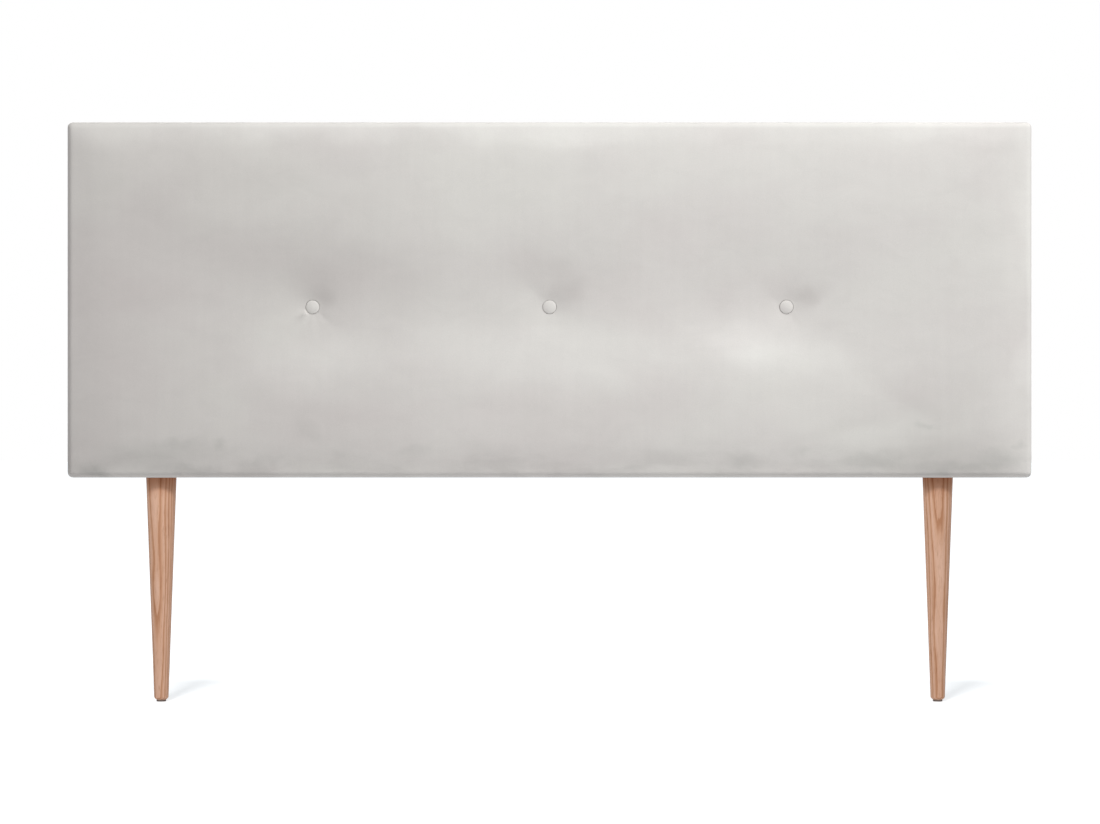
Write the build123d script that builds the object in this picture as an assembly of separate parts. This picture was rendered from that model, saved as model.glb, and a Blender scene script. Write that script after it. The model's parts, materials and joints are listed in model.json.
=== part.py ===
from build123d import *
import os
from math import acos, cos, degrees, radians, sin

# Upholstered headboard with three tufted buttons, on two turned legs that screw in.
# Millimetres. X runs along the board, the front faces -Y, Z is up, the floor is Z = 0.

# Driving dimensions of the board
board_w = 1600.0
board_h = 590.0
foam_t = 33.0
cover_t = 1.2
soft_gap = 0.3
edge_roll_r = 16.0
crown_angle = 7.0
crown_reach = 110.0

# Pine frame and hardboard panel
frame_t = 45.0
rail_h = 30.0
post_w = 30.0
outer_post_inset = 200.0
corner_r = 6.0
block_leg = 80.0
block_t = 20.0
block_tip = 8.0
panel_t = 3.0

# Frame screws, one through a rail into each end of each post
screw_len = 60.0
screw_d = 5.0
screw_head_d = 9.0
screw_head_h = 3.0

# Staples, square in section
staple_wire = 0.8
staple_crown = 10.0
staple_leg = 8.0
staples_along = 6
staples_up = 2
panel_staples_along = 4
panel_staples_up = 2
panel_staple_inset = 12.0

# Back of the board: the cover's turned lip and the dust cover over it
lip_w = 33.0
lip_staple_inset = 27.0
dust_t = 0.6
dust_inset = 16.0
dust_staple_inset = 21.0

# Tufts: the cover rises from each button's seat in arcs that flatten outwards
button_pitch = 393.0
button_drop = 12.0
rise_angles = (55.0, 12.0, 3.0)
rise_radii = (24.0, 400.0)
tuft_hole_d = 11.0

# Covered buttons, each with a shank plate and its wire loop
button_d = 23.0
button_side_h = 3.0
button_dome_h = 5.5
shank_plate_d = 17.0
shank_plate_t = 0.9
shank_wire_d = 1.4
shank_loop_w = 6.5
shank_loop_len = 7.0
shank_loop_bevel = 1.5

# Tufting twine and the washer that it is tied to
twine_d = 1.5
twine_pitch = 6.0
twine_hole_d = 1.9
knot_d = 4.0
knot_len = 5.0
washer_d = 25.0
washer_t = 3.0

# Legs, glides and their nails
leg_inset = 150.0
leg_len = 372.0
leg_top_d = 51.0
leg_foot_d = 24.0
leg_foot_bevel_h = 3.5
glide_d = 16.0
glide_t = 3.0
nail_d = 2.4
nail_len = 18.0
nail_head_d = 6.0
nail_head_t = 1.0

# Hanger bolt in the leg and pronged nut in the rail
bolt_d = 8.0
bolt_reach = 35.0
bolt_grip = 35.0
bolt_core_d = 6.6
bolt_pilot_d = 6.8
bolt_passage_d = 12.0
bolt_end_room = 2.0
thread_clearance = 0.05
nut_flange_d = 22.0
nut_flange_t = 1.2
nut_barrel_d = 10.6
nut_barrel_h = 12.0
nut_prongs = 3
prong_w = 3.0
prong_h = 6.0
nut_hole_d = 10.8

# Wall hanger plates with a keyhole, pressed out of strip
hanger_w = 24.0
hanger_len = 64.0
hanger_t = 1.5
hanger_rise = 4.0
hanger_foot = 14.0
hanger_ramp = 5.0
hanger_bevel = 2.5
hanger_drop = 40.0
keyhole_d = 10.0
keyhole_slot_w = 5.0
keyhole_slot_len = 10.0
keyhole_drop = 4.0
hanger_screw_len = 25.0
hanger_screw_d = 3.5
hanger_screw_head_d = 7.0
hanger_screw_head_h = 1.8

# Small allowances
fit_gap = 0.1
overrun = 5.0

# Small round fittings out of sight are made with this many flats
small_sides = 6

# Sizes that follow from the values above
cover_grow = soft_gap + cover_t
frame_w = board_w - 2 * cover_grow
frame_h = board_h - 2 * cover_grow
post_len = frame_h - 2 * rail_h

# Heights, from the floor up
leg_top_z = glide_t + leg_len
underside_z = leg_top_z + soft_gap
mid_z = underside_z + board_h / 2
rail_under_z = underside_z + cover_grow
rail_over_z = rail_under_z + rail_h
frame_top_z = rail_under_z + frame_h
button_z = mid_z - button_drop
hanger_mid_z = frame_top_z - rail_h - hanger_drop - hanger_len / 2
hanger_screw_reach = (hanger_len - hanger_foot) / 2
hanger_screw_zs = (hanger_mid_z - hanger_screw_reach, hanger_mid_z + hanger_screw_reach)

# Depths, with the whole object centred on Y = 0
lip_depth = soft_gap + cover_t
back_depth = lip_depth + staple_wire + dust_t + hanger_rise + hanger_t
front_depth = frame_t + panel_t + foam_t + cover_grow
frame_back_y = (front_depth + back_depth) / 2 - back_depth
lip_back_y = frame_back_y + lip_depth
dust_front_y = lip_back_y + staple_wire
dust_back_y = dust_front_y + dust_t
frame_mid_y = frame_back_y - frame_t / 2
frame_front_y = frame_back_y - frame_t
panel_front_y = frame_front_y - panel_t
foam_front_y = panel_front_y - foam_t
leg_y = frame_mid_y

# Depth of a tuft below the padding's front, and how far its slope reaches from its seat
seat_r = button_d / 2 + soft_gap
rise_steps = list(zip(rise_radii, rise_angles, rise_angles[1:]))
tuft_depth = sum(r * (cos(radians(b)) - cos(radians(a))) for r, a, b in rise_steps)
tuft_reach = seat_r + sum(r * (sin(radians(a)) - sin(radians(b))) for r, a, b in rise_steps)
button_back_y = foam_front_y - cover_grow + tuft_depth - soft_gap

button_xs = (-button_pitch, 0.0, button_pitch)
side_signs = {"left": -1, "right": 1}
leg_x = board_w / 2 - leg_inset
end_post_x = (frame_w - post_w) / 2
outer_post_x = board_w / 2 - outer_post_inset
inner_post_x = outer_post_x / 3
post_xs = {
    "left_end_post": -end_post_x,
    "left_outer_post": -outer_post_x,
    "left_inner_post": -inner_post_x,
    "right_inner_post": inner_post_x,
    "right_outer_post": outer_post_x,
    "right_end_post": end_post_x,
}

to_front = Rot(90, 0, 0)
to_back = Rot(-90, 0, 0)


# Helpers


def drill(diameter, length):
    """A round cylinder that starts at Z = 0 and runs up."""
    return Cylinder(diameter / 2, length, align=(Align.CENTER, Align.CENTER, Align.MIN))


def rod(diameter, length):
    """A rod with a few flats that starts at Z = 0 and runs up."""
    return extrude(RegularPolygon(diameter / 2, small_sides), length)


def screw(head_d, head_h, shank_d, length):
    """A screw about Z, its head's top at Z = 0 and its shank below."""
    return Pos(0, 0, -head_h) * rod(head_d, head_h) + Pos(0, 0, -length) * rod(shank_d, length)


def bent_wire(diameter, points):
    """A wire of a few flats with mitred bends, along points in the XZ plane."""
    path = Plane.XZ * Polyline(*points)
    section = Plane(path @ 0, z_dir=path % 0) * RegularPolygon(diameter / 2, small_sides)
    return sweep(section, path, transition=Transition.RIGHT)


def plate(outline, thickness, y_front):
    """An upright plate of one outline, centred on the board."""
    return Pos(0, y_front + thickness, mid_z) * to_front * extrude(outline, thickness)


def frame_outline():
    """The frame's outline, its corners bevelled to lie inside the rounding of the cloth."""
    return chamfer(Rectangle(frame_w, frame_h).vertices(), corner_r)


def spread(count, length):
    """Evenly spaced places along a length, centred on zero, half a step from its ends."""
    step = length / count
    return [step * (i + 1 / 2) - length / 2 for i in range(count)]


def staple_ring(inset, width, height, along, up, crown_y, turn):
    """Staples round a rectangle, their crowns on a plane of constant Y, turned to face one way."""
    outer = Rectangle(staple_crown, staple_leg, align=(Align.CENTER, Align.MAX))
    inner_w = staple_crown - 2 * staple_wire
    inner = Rectangle(inner_w, staple_leg, align=(Align.CENTER, Align.MAX))
    staple = extrude(outer - Pos(0, -staple_wire) * inner, staple_wire / 2, both=True)
    ring_w = width - 2 * inset
    ring_h = height - 2 * inset
    places = [Pos(x, 0, z) for x in spread(along, ring_w) for z in (-ring_h / 2, ring_h / 2)]
    for z in spread(up, ring_h):
        places += [Pos(x, 0, z) * Rot(0, 90, 0) for x in (-ring_w / 2, ring_w / 2)]
    return Compound(children=[Pos(0, crown_y, mid_z) * place * turn * staple for place in places])


def behind_each_button(piece, y):
    """Three copies of a piece made about Z, facing the front, one at each button."""
    return Compound(children=[Pos(x, y, button_z) * to_front * piece for x in button_xs])


# Padding forms


def crowned_profile(half_width, grow, back):
    """A closed profile of the padding: straight sides, rolled edges, a gentle crown, a flat middle.

    The first axis runs across the board and the second towards its front.
    """
    tilt = radians(crown_angle)
    roll_r = edge_roll_r + grow
    crown_r = crown_reach / sin(tilt) + grow
    half = half_width + grow
    top = grow - foam_front_y
    flat = half - roll_r * (1 - sin(tilt)) - crown_r * sin(tilt)
    shoulder = top - crown_r * (1 - cos(tilt)) - roll_r * cos(tilt)
    side = Line((-half, back), (-half, shoulder))
    roll = JernArc(side @ 1, side % 1, roll_r, crown_angle - 90)
    crown = JernArc(roll @ 1, roll % 1, crown_r, -crown_angle)
    middle = Line((-flat, top), (0, top))
    half_path = [side, roll, crown, middle]
    other_half = [mirror(edge, about=Plane.YZ) for edge in half_path]
    base = Line((-half, back), (half, back))
    return make_face(Curve() + half_path + other_half + base)


def padded_block(grow, back_y):
    """The padding's outer form, grown outwards by one distance, from its crown back to back_y."""
    reach = board_w + board_h
    lengthways = crowned_profile(frame_w / 2, grow, -back_y)
    upright = crowned_profile(frame_h / 2, grow, -back_y)
    from_above = Plane((0, 0, mid_z), x_dir=(1, 0, 0), z_dir=(0, 0, -1))
    from_side = Plane((0, 0, mid_z), x_dir=(0, 0, 1), z_dir=(1, 0, 0))
    along = extrude(from_above * lengthways, reach / 2, both=True)
    up = extrude(from_side * upright, reach / 2, both=True)
    outline = RectangleRounded(frame_w + 2 * grow, frame_h + 2 * grow, corner_r + grow)
    through = Pos(0, 0, mid_z) * to_front * extrude(outline, reach / 2, both=True)
    return along & up & through


def tuft_cutter(grow, rounded):
    """What a pulled button takes out of the padding, about Z, with the front plane at Z = 0.

    A layer's arcs share their centres with those of the cover's face, so the layers lie
    parallel, and only the first arc starts steeper where a deeper layer meets its own seat.
    A layer that isn't rounded has the straight chords of those arcs.
    """
    below = cover_grow - grow
    first_r = rise_radii[0]
    first = radians(rise_angles[0])
    start = acos((first_r * cos(first) - below) / (first_r - below))
    start_r = seat_r + first_r * sin(first) - (first_r - below) * sin(start)
    path = [Line((0, -tuft_depth), (start_r, -tuft_depth))]
    slope = degrees(start)
    heading = (cos(start), sin(start))
    for radius, next_slope in zip(rise_radii, rise_angles[1:]):
        arc = JernArc(path[-1] @ 1, heading, radius - below, next_slope - slope)
        path.append(arc if rounded else Line(arc @ 0, arc @ 1))
        heading = arc % 1
        slope = next_slope
    rim = path[-1] @ 1
    beyond = (path[-1] % 1) * overrun
    last = (rim.X + beyond.X, rim.Y + beyond.Y)
    path += [
        Line(rim, last),
        Line(last, (last[0], overrun)),
        Line((last[0], overrun), (0, overrun)),
        Line((0, overrun), (0, -tuft_depth)),
    ]
    return revolve(Plane.XZ * make_face(Curve() + path), Axis.Z)


def tufted_block(grow, back_y, rounded):
    """The padding's form with its three tufts pulled in."""
    cutter = tuft_cutter(grow, rounded)
    return padded_block(grow, back_y) - behind_each_button(cutter, foam_front_y - grow)


def twine_holes():
    """Straight holes behind the buttons, from the cover's seat to behind the panel."""
    start = frame_front_y + overrun
    length = start - button_back_y + overrun
    return behind_each_button(rod(tuft_hole_d, length), start)


# Frame


def rail_screw_holes():
    """Stepped holes through both rails for the frame screws, heads flush outside."""
    hole = screw(
        screw_head_d + fit_gap,
        screw_head_h + fit_gap,
        screw_d + fit_gap,
        rail_h,
    )
    return [place * hole for place in frame_screw_places()]


def frame_screw_places():
    """Where the frame screws' heads sit, point inwards, on the rails' outer faces."""
    for x in post_xs.values():
        yield Pos(x, frame_mid_y, frame_top_z)
        yield Pos(x, frame_mid_y, rail_under_z) * Rot(180, 0, 0)


def rails():
    """Top and bottom rails, outer corners bevelled, bored for screws and the leg nuts."""
    frame = plate(frame_outline(), frame_t, frame_front_y)
    frame -= Pos(0, frame_mid_y, mid_z) * Box(board_w, frame_t, post_len)
    frame -= rail_screw_holes()
    for sign in side_signs.values():
        frame -= Pos(sign * leg_x, leg_y, rail_under_z) * rod(nut_hole_d, rail_h)
    bottom, top = frame.solids().sort_by(Axis.Z)
    return {"bottom_rail": bottom, "top_rail": top}


def posts():
    """Six plain posts between the rails."""
    post = Box(post_w, frame_t, post_len)
    return {name: Pos(x, frame_mid_y, mid_z) * post for name, x in post_xs.items()}


def corner_blocks():
    """Four glued triangular blocks with blunt tips, in the frame's inner corners."""
    outline = Polyline(
        (0, 0),
        (block_leg, 0),
        (block_leg, block_tip),
        (block_tip, block_leg),
        (0, block_leg),
        close=True,
    )
    block = extrude(make_face(outline), block_t / 2, both=True)
    corner_x = end_post_x - post_w / 2
    corner_z = post_len / 2
    corners = {"lower_left": (-1, -1), "lower_right": (1, -1), "upper_right": (1, 1), "upper_left": (-1, 1)}
    made = {}
    for quarter, (name, (sign_x, sign_z)) in enumerate(corners.items()):
        place = Pos(sign_x * corner_x, frame_mid_y, mid_z + sign_z * corner_z)
        made[name + "_corner_block"] = place * to_front * Rot(0, 0, 90 * quarter) * block
    return made


def frame_screws():
    one = screw(screw_head_d, screw_head_h, screw_d, screw_len)
    return Compound(children=[place * one for place in frame_screw_places()])


def front_panel():
    return plate(frame_outline(), panel_t, panel_front_y) - twine_holes()


# Padding and cover


def foam_pad():
    return tufted_block(0, panel_front_y, rounded=False) - twine_holes()


def upholstery_cover():
    """A cloth shell over the front and sides, turned in to a lip round the back."""
    outside = tufted_block(cover_grow, lip_back_y, rounded=True)
    inside = tufted_block(soft_gap, frame_back_y + soft_gap, rounded=False)
    opening = Rectangle(board_w - 2 * lip_w, board_h - 2 * lip_w)
    cover = outside - inside - plate(opening, lip_depth + overrun, frame_back_y) - twine_holes()
    for sign in side_signs.values():
        passage = Pos(sign * leg_x, leg_y, underside_z - soft_gap) * rod(bolt_passage_d, overrun)
        cover -= passage
    return cover


def dust_cover():
    outline = Rectangle(board_w - 2 * dust_inset, board_h - 2 * dust_inset)
    sheet = plate(outline, dust_t, dust_front_y)
    hole = rod(hanger_screw_d + fit_gap, dust_t)
    for sign in side_signs.values():
        for z in hanger_screw_zs:
            sheet -= Pos(sign * outer_post_x, dust_back_y, z) * to_front * hole
    return sheet


# Buttons and what holds them


def covered_button():
    """A low drum under a dome, with a recess behind for the shank plate."""
    radius = button_d / 2
    dome_r = (radius**2 + button_dome_h**2) / (2 * button_dome_h)
    dome = Pos(0, 0, button_side_h + button_dome_h - dome_r) * Sphere(dome_r)
    body = drill(button_d, button_side_h + button_dome_h) & dome
    return body - rod(shank_plate_d + fit_gap, shank_plate_t + fit_gap)


def button_shank():
    """A pressed plate with a bevelled wire loop that hangs below it, about Z."""
    half = (shank_loop_w - shank_wire_d) / 2
    low = shank_wire_d / 2 - shank_loop_len
    points = [
        (-half, shank_plate_t / 2),
        (-half, low + shank_loop_bevel),
        (shank_loop_bevel - half, low),
        (half - shank_loop_bevel, low),
        (half, low + shank_loop_bevel),
        (half, shank_plate_t / 2),
    ]
    loop = Rot(0, 0, 90) * bent_wire(shank_wire_d, points)
    return rod(shank_plate_d, shank_plate_t) + loop


def twine():
    """A hairpin of twine through the shank's loop, tied off behind the washer, about Z."""
    half = twine_pitch / 2
    front = shank_wire_d + twine_d / 2 + fit_gap - shank_loop_len
    washer_back = button_back_y - frame_front_y - washer_t
    back = washer_back - twine_d / 2 - fit_gap
    points = [(0, back), (half, back), (half, front), (-half, front), (-half, back), (0, back)]
    knot = Pos(-knot_len / 2, 0, back - (knot_d - twine_d) / 2) * Rot(0, 90, 0) * rod(knot_d, knot_len)
    return bent_wire(twine_d, points) + knot


def tie_washer():
    disc = Pos(0, 0, -washer_t) * rod(washer_d, washer_t)
    for side in (-1, 1):
        disc -= Pos(side * twine_pitch / 2, 0, -washer_t) * rod(twine_hole_d, washer_t)
    return disc


# Legs and what joins them to the frame


def leg(x):
    """A turned leg: straight taper, bevelled foot, bored for its bolt and nail."""
    foot_r = leg_foot_d / 2
    sections = [
        Circle(glide_d / 2),
        Pos(0, 0, leg_foot_bevel_h) * Circle(foot_r),
        Pos(0, 0, leg_len) * Circle(leg_top_d / 2),
    ]
    body = loft(sections, ruled=True)
    bore_depth = bolt_grip + bolt_end_room
    body -= Pos(0, 0, leg_len - bore_depth) * rod(bolt_pilot_d, bore_depth)
    body -= drill(nail_d + 2 * thread_clearance, nail_len)
    return Pos(x, leg_y, glide_t) * body


def hanger_bolt(x):
    """Machine thread above the leg, a slimmer core for the wood thread inside it."""
    body = drill(bolt_d, bolt_reach) + Pos(0, 0, -bolt_grip) * rod(bolt_core_d, bolt_grip)
    return Pos(x, leg_y, leg_top_z) * body


def leg_nut():
    """A pronged nut about Z: flange on the rail, barrel down into it, prongs in the wood."""
    body = rod(nut_flange_d, nut_flange_t)
    body += Pos(0, 0, -nut_barrel_h) * rod(nut_barrel_d, nut_barrel_h)
    prong = Box(nut_flange_t, prong_w, prong_h, align=(Align.MAX, Align.CENTER, Align.MAX))
    for i in range(nut_prongs):
        turn = Rot(0, 0, 360 * i / nut_prongs)
        body += turn * Pos(nut_flange_d / 2 - nut_flange_t, 0, 0) * prong
    bore = drill(bolt_d + 2 * thread_clearance, nut_barrel_h + nut_flange_t)
    return body - Pos(0, 0, -nut_barrel_h) * bore


def leg_nuts():
    places = [Pos(sign * leg_x, leg_y, rail_over_z) for sign in side_signs.values()]
    return Compound(children=[place * leg_nut() for place in places])


def glide(x):
    """A hard foot pad with a sunk seat for the nail's head."""
    body = drill(glide_d, glide_t)
    body -= rod(nail_head_d + fit_gap, nail_head_t + fit_gap)
    body -= rod(nail_d + fit_gap, glide_t)
    return Pos(x, leg_y, 0) * body


def glide_nail(x):
    body = rod(nail_head_d, nail_head_t) + rod(nail_d, nail_len)
    return Pos(x, leg_y, fit_gap) * body


# Wall hangers


def wall_hanger(x):
    """A strip pressed up in the middle, with a keyhole in the raised part."""
    foot_end = hanger_len / 2
    foot_start = foot_end - hanger_foot
    raised = foot_start - hanger_ramp
    over = [
        (foot_end, 0),
        (foot_end, hanger_t),
        (foot_start, hanger_t),
        (raised, hanger_rise + hanger_t),
    ]
    under = [(raised, hanger_rise), (foot_start, 0)]
    outline = Polyline(
        *over,
        *[(-u, v) for u, v in reversed(over)],
        *[(-u, v) for u, v in reversed(under)],
        *under,
        close=True,
    )
    side_view = Plane((0, 0, 0), x_dir=(0, 0, 1), z_dir=(-1, 0, 0))
    strip = extrude(side_view * make_face(outline), hanger_w / 2, both=True)
    ends = strip.edges().filter_by(Axis.Y)
    strip = chamfer(ends.group_by(Axis.Z)[0] + ends.group_by(Axis.Z)[-1], hanger_bevel)
    entry = Circle(keyhole_d / 2)
    slot = Pos(0, keyhole_slot_len / 2) * Rectangle(keyhole_slot_w, keyhole_slot_len)
    slot_end = Pos(0, keyhole_slot_len) * Circle(keyhole_slot_w / 2)
    keyhole = extrude(entry + slot + slot_end, hanger_rise + hanger_t + overrun)
    strip -= Pos(0, hanger_rise + hanger_t + overrun, -keyhole_drop) * to_front * keyhole
    hole = rod(hanger_screw_d + fit_gap, hanger_t)
    for side in (-1, 1):
        strip -= Pos(0, hanger_t, side * hanger_screw_reach) * to_front * hole
    return Pos(x, dust_back_y, hanger_mid_z) * strip


def hanger_screws():
    one = screw(
        hanger_screw_head_d,
        hanger_screw_head_h,
        hanger_screw_d,
        hanger_screw_len,
    )
    head_y = dust_back_y + hanger_t + hanger_screw_head_h
    places = [
        Pos(sign * outer_post_x, head_y, z) * to_back
        for sign in side_signs.values()
        for z in hanger_screw_zs
    ]
    return Compound(children=[place * one for place in places])


def staples():
    """The three rings of staples: panel to frame, cover's lip to frame, dust cover over it."""
    inwards = Rot(0, 0, 0)
    backwards = Rot(0, 0, 180)
    cover_crown_y = lip_back_y + staple_wire
    dust_crown_y = dust_back_y + staple_wire
    board = (board_w, board_h, staples_along, staples_up)
    panel = (frame_w, frame_h, panel_staples_along, panel_staples_up)
    return {
        "panel_staples": staple_ring(panel_staple_inset, *panel, panel_front_y, backwards),
        "cover_staples": staple_ring(lip_staple_inset, *board, cover_crown_y, inwards),
        "dust_cover_staples": staple_ring(dust_staple_inset, *board, dust_crown_y, inwards),
    }


def build_all():
    """Every sub-part by its node name."""
    nodes = {
        **rails(),
        **posts(),
        **corner_blocks(),
        **staples(),
        "frame_screws": frame_screws(),
        "front_panel": front_panel(),
        "foam_pad": foam_pad(),
        "upholstery_cover": upholstery_cover(),
        "dust_cover": dust_cover(),
        "covered_buttons": behind_each_button(covered_button(), button_back_y),
        "button_shanks": behind_each_button(button_shank(), button_back_y),
        "tufting_twines": behind_each_button(twine(), button_back_y),
        "tie_washers": behind_each_button(tie_washer(), frame_front_y),
        "leg_nuts": leg_nuts(),
        "hanger_screws": hanger_screws(),
    }
    for side, sign in side_signs.items():
        nodes[side + "_leg"] = leg(sign * leg_x)
        nodes[side + "_hanger_bolt"] = hanger_bolt(sign * leg_x)
        nodes[side + "_glide"] = glide(sign * leg_x)
        nodes[side + "_glide_nail"] = glide_nail(sign * leg_x)
        nodes[side + "_wall_hanger"] = wall_hanger(sign * outer_post_x)
    return nodes


os.makedirs("parts", exist_ok=True)
for node_name, shape in build_all().items():
    export_step(shape, f"parts/{node_name}.step")

print(f"tuft depth {tuft_depth:.1f}, reach {tuft_reach:.1f}, depth {front_depth + back_depth:.1f}")
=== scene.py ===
import json
import math

import bpy
import numpy as np
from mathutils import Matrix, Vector

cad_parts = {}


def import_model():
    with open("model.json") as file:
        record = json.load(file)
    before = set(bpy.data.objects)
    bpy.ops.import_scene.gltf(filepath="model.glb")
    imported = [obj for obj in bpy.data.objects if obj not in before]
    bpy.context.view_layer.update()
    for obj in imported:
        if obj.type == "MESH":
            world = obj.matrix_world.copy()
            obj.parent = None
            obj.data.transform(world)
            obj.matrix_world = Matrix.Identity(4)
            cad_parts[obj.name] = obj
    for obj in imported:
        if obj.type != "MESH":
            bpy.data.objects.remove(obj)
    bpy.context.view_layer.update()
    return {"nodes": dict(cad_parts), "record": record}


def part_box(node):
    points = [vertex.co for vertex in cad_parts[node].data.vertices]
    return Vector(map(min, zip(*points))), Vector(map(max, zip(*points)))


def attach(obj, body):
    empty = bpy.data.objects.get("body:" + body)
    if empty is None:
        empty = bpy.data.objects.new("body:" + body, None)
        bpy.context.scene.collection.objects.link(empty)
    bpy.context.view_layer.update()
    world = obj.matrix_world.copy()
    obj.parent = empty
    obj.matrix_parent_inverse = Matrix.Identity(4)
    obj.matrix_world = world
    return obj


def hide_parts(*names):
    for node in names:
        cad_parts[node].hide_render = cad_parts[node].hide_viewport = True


# Upholstered headboard with three tufted buttons on two turned legs, in metres, in the CAD's frame.

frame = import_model()
nodes = frame["nodes"]

# Sizes read from the frame
COVER_LO, COVER_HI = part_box("upholstery_cover")
HALF_W = COVER_HI.x
MID_Z = (COVER_LO.z + COVER_HI.z) / 2
HALF_H = COVER_HI.z - MID_Z
FRONT_Y = COVER_LO.y
BACK_Y = COVER_HI.y

BUTTON_LO, BUTTON_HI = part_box("covered_buttons")
BUTTON_R = (BUTTON_HI.z - BUTTON_LO.z) / 2

LEG_LO, LEG_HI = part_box("right_leg")
FOOT_X, FOOT_Y = (LEG_LO.x + LEG_HI.x) / 2, (LEG_LO.y + LEG_HI.y) / 2

# The cover's form: a crown that meets the edge's roll, rounded corners, and a lip turned in behind
ROLL_R = 0.0120
CORNER_R = 0.0090
CORNER_BLEND = 0.0025
CROWN_REACH = 0.110
CROWN_DROP = 0.0057
CROWN_R = (CROWN_REACH**2 + CROWN_DROP**2) / (2 * CROWN_DROP)
CROWN_TILT = math.asin(CROWN_REACH / CROWN_R)
BACK_EDGE_R = 0.002
LIP_W = 0.033

# The seat behind each button
SEAT_GAP = 0.0003
SEAT_R = BUTTON_R + SEAT_GAP
SEAT_Y = BUTTON_HI.y + SEAT_GAP
# Its rings from the outermost in: share of its radius, and y
SEAT_RINGS = ((1.0, SEAT_Y - 0.0015), (0.97, SEAT_Y - 0.0002), (0.90, SEAT_Y), (0.45, SEAT_Y))

# The valley that the row of buttons pulls along the board
VALLEY_DEPTH = 0.0062
VALLEY_SPREAD = 0.080
VALLEY_END_SPREAD = 0.150

# The hollow round each button, down to the button's widest part: depths and reaches
HOLLOWS = ((-0.0008, 0.004), (0.0020, 0.014), (0.0050, 0.046))

# Soft folds at each button: direction in degrees from +X, half width, height, reach
FOLDS = (
    (
        (221, 15, -0.0034, 0.020), (268, 15, -0.0007, 0.050),
        (60, 30, 0.0010, 0.110), (318, 14, 0.0008, 0.070),
    ),
    ((135, 22, 0.0010, 0.120), (25, 22, 0.0010, 0.080), (248, 26, 0.0005, 0.080)),
    ((28, 24, 0.0012, 0.080), (150, 22, 0.0007, 0.090), (300, 18, 0.0006, 0.080)),
)
# The share of its reach at which a fold is highest
FOLD_PEAK = 0.3

# Slight unevenness of stretched cloth: number of waves, their lengths, and height over length
UNEVEN_WAVES = 24
UNEVEN_LENGTHS = (0.12, 0.50)
UNEVEN_HEIGHT = 0.0003

# Valley, hollows and unevenness start this far in from the edge and grow over this reach
CALM_EDGE = 0.010
CALM_REACH = 0.060

# The foam's pressure on the front, simulated on a sheet held at its rim and round each button
PRESSURE = 0.08
CLOTH_QUALITY = 4
SWELL_FRAMES = 20
SWELL_CAP = 0.0025
SHEET_PITCH = 0.008
SHEET_INSET = 0.003
HELD_RING = 0.003

# The cover stays unmoved from this depth behind the front on and at each seat, and the movement
# grows from there over this reach
HELD_DEPTH = 0.018
EASE = 0.010

# The cover's mesh: coarse squares, fine squares round each button, and rings inside those
COARSE = 0.009
PITCH = 0.0035
PATCH_CELLS = 12
PATCH_RINGS = 17
PATCH_CROWDING = 1.7
ROLL_STEPS = 8
SIDE_STEPS = 10

# A covered button: how much flatter it is than the CAD's, its rim's radius, how far the cloth is
# tucked in behind it, and the angle of its dome from middle to rim
BUTTON_SUNK = 0.0014
BUTTON_RIM_R = 0.0018
BUTTON_TUCK = 0.0016
BUTTON_DOME = math.radians(15)
BUTTON_SEGMENTS = 48
# Painted light and shade: each button's velvet made lighter or darker by these factors, from left to
# right
BUTTON_PAINTED_LIGHT_LEVELS = (0.99, 1.04, 1.04)

# The dust cover: folded hem, slack over the frame, puckers at the staples, a sag in each bay
HEM = 0.012
HEM_FALL = 0.0010
HEM_STEP = 0.0005
DUST_PITCH = 0.0075
DUST_THICKNESS = 0.0004
DUST_SLACK = 0.0012
DUST_SLACK_REACH = 0.05
DUST_WAVES = 18
DUST_LENGTHS = (0.05, 0.30)
PUCKER_HEIGHT = 0.00012
PUCKER_GAP_X = 0.041
PUCKER_GAP_Z = 0.037
PUCKER_REACH = 0.035
BAY_SAG = 0.0080
BAY_EDGE = 0.060

# The turned leg: rounding of its foot, taper, and the small edge at its top
FOOT_R = 0.012
FOOT_BASE_R = 0.0079
FOOT_ROUND_R = 0.0045
FOOT_ROUND_Z = 0.0052
TOP_INSET = 0.0002
TOP_EDGE_R = 0.0010
TAPER_STEPS = 24
LEG_SEGMENTS = 96


# Mesh helpers


def make_object(name, verts, faces, smooth=True):
    mesh = bpy.data.meshes.new(name)
    mesh.from_pydata([tuple(v) for v in verts], [], faces)
    mesh.validate()
    mesh.update()
    if smooth:
        mesh.polygons.foreach_set("use_smooth", [True] * len(mesh.polygons))
    obj = bpy.data.objects.new(name, mesh)
    bpy.context.scene.collection.objects.link(obj)
    return obj


def read_points(mesh):
    points = np.empty(len(mesh.vertices) * 3)
    mesh.vertices.foreach_get("co", points)
    return points.reshape(-1, 3)


def grid_squares(nx, nz):
    """The faces of a grid of points, numbered along z first, by their place in it. They face -Y."""
    squares = {}
    for i in range(nx - 1):
        for j in range(nz - 1):
            a = i * nz + j
            squares[i, j] = (a, a + nz, a + nz + 1, a + 1)
    return squares


def bridge(faces, outer, inner):
    """Join two rings of points with as many points each."""
    count = len(outer)
    for k in range(count):
        n = (k + 1) % count
        faces.append((outer[k], inner[k], inner[n], outer[n]))


def lathe(name, profile, segments, place):
    """A turned piece about a vertical line through place, from (radius, height) points."""
    verts, faces = [], []
    for radius, height in profile:
        for k in range(segments):
            a = 2 * math.pi * k / segments
            x, y = radius * math.cos(a), radius * math.sin(a)
            verts.append((place[0] + x, place[1] + y, place[2] + height))
    for i in range(len(profile) - 1):
        low, high = i * segments, (i + 1) * segments
        for k in range(segments):
            n = (k + 1) % segments
            faces.append((low + k, low + n, high + n, high + k))
    faces.append(tuple(reversed(range(segments))))
    faces.append(tuple(range((len(profile) - 1) * segments, len(profile) * segments)))
    return make_object(name, verts, faces)


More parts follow.
